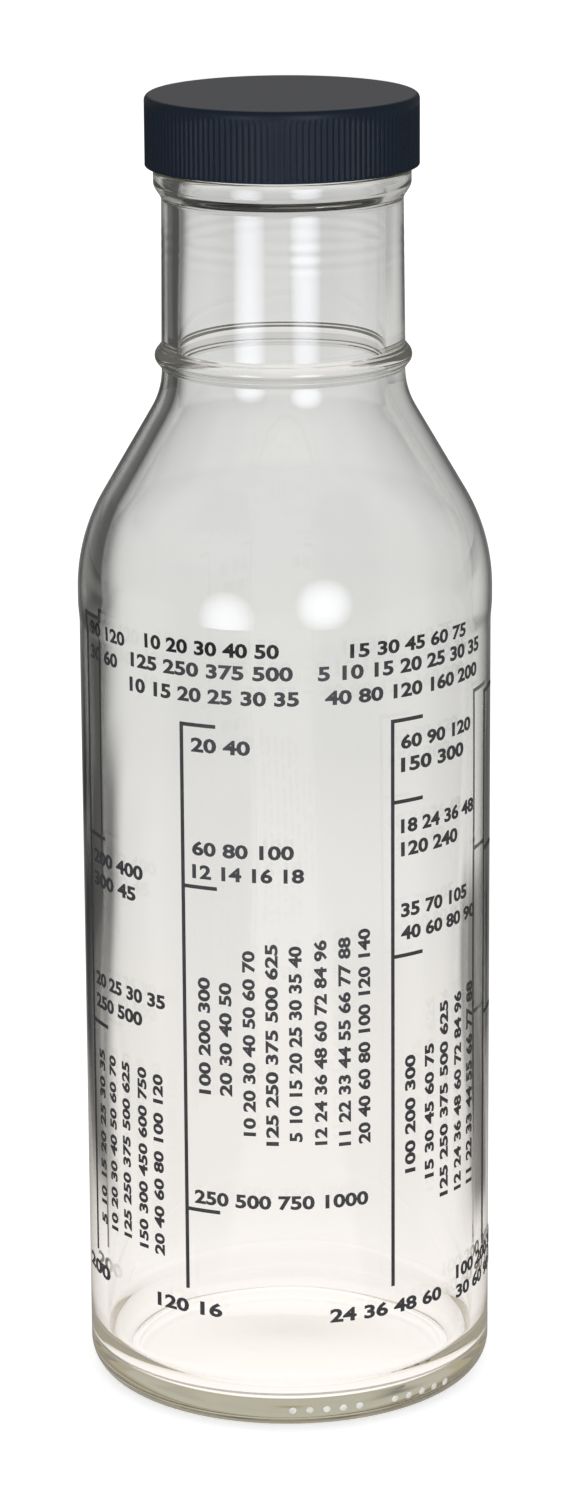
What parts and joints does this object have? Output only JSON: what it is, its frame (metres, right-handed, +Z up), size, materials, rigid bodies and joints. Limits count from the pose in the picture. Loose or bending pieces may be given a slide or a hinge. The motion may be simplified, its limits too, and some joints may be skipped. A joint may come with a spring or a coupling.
{
  "type": "dressing shaker bottle",
  "caption": "Clear glass dressing bottle with a ringed neck, printed measuring scales and a ribbed black screw cap that turns and lifts on its thread.",
  "frame": {"origin": "middle of the base, on the surface that the bottle stands on", "axes": "+Z up along the bottle's axis towards the cap, -Y towards the side with the two middle measuring scales, +X to the right seen from there"},
  "size_m": [0.0615, 0.0614, 0.1958],
  "materials": {
    "clear_glass": "clear flint glass, fire polished",
    "black_polypropylene": "semi-gloss moulded ribs, matt top",
    "foam_liner": "soft white foam",
    "black_enamel": "fired satin enamel print"
  },
  "bodies": {
    "bottle_body": {"bottle": "clear_glass", "scale_left": "black_enamel", "scale_middle_left": "black_enamel", "scale_middle_right": "black_enamel", "scale_right": "black_enamel"},
    "liner_body": {"cap_liner": "foam_liner"},
    "cap_body": {"cap": "black_polypropylene"}
  },
  "joints": [
    {"name": "cap_lift", "type": "slide", "parent": "bottle_body", "child": "liner_body", "axis": [0, 0, 1], "range_m": [0, 0.0106]},
    {"name": "cap_turn", "type": "hinge", "parent": "liner_body", "child": "cap_body", "pos_m": [0, 0, 0.19], "axis": [0, 0, 1], "range_deg": [0, 900]}
  ],
  "couplings": [
    {"joint": "cap_lift", "follows": "cap_turn", "m_per_rad": 0.00067375}
  ]
}
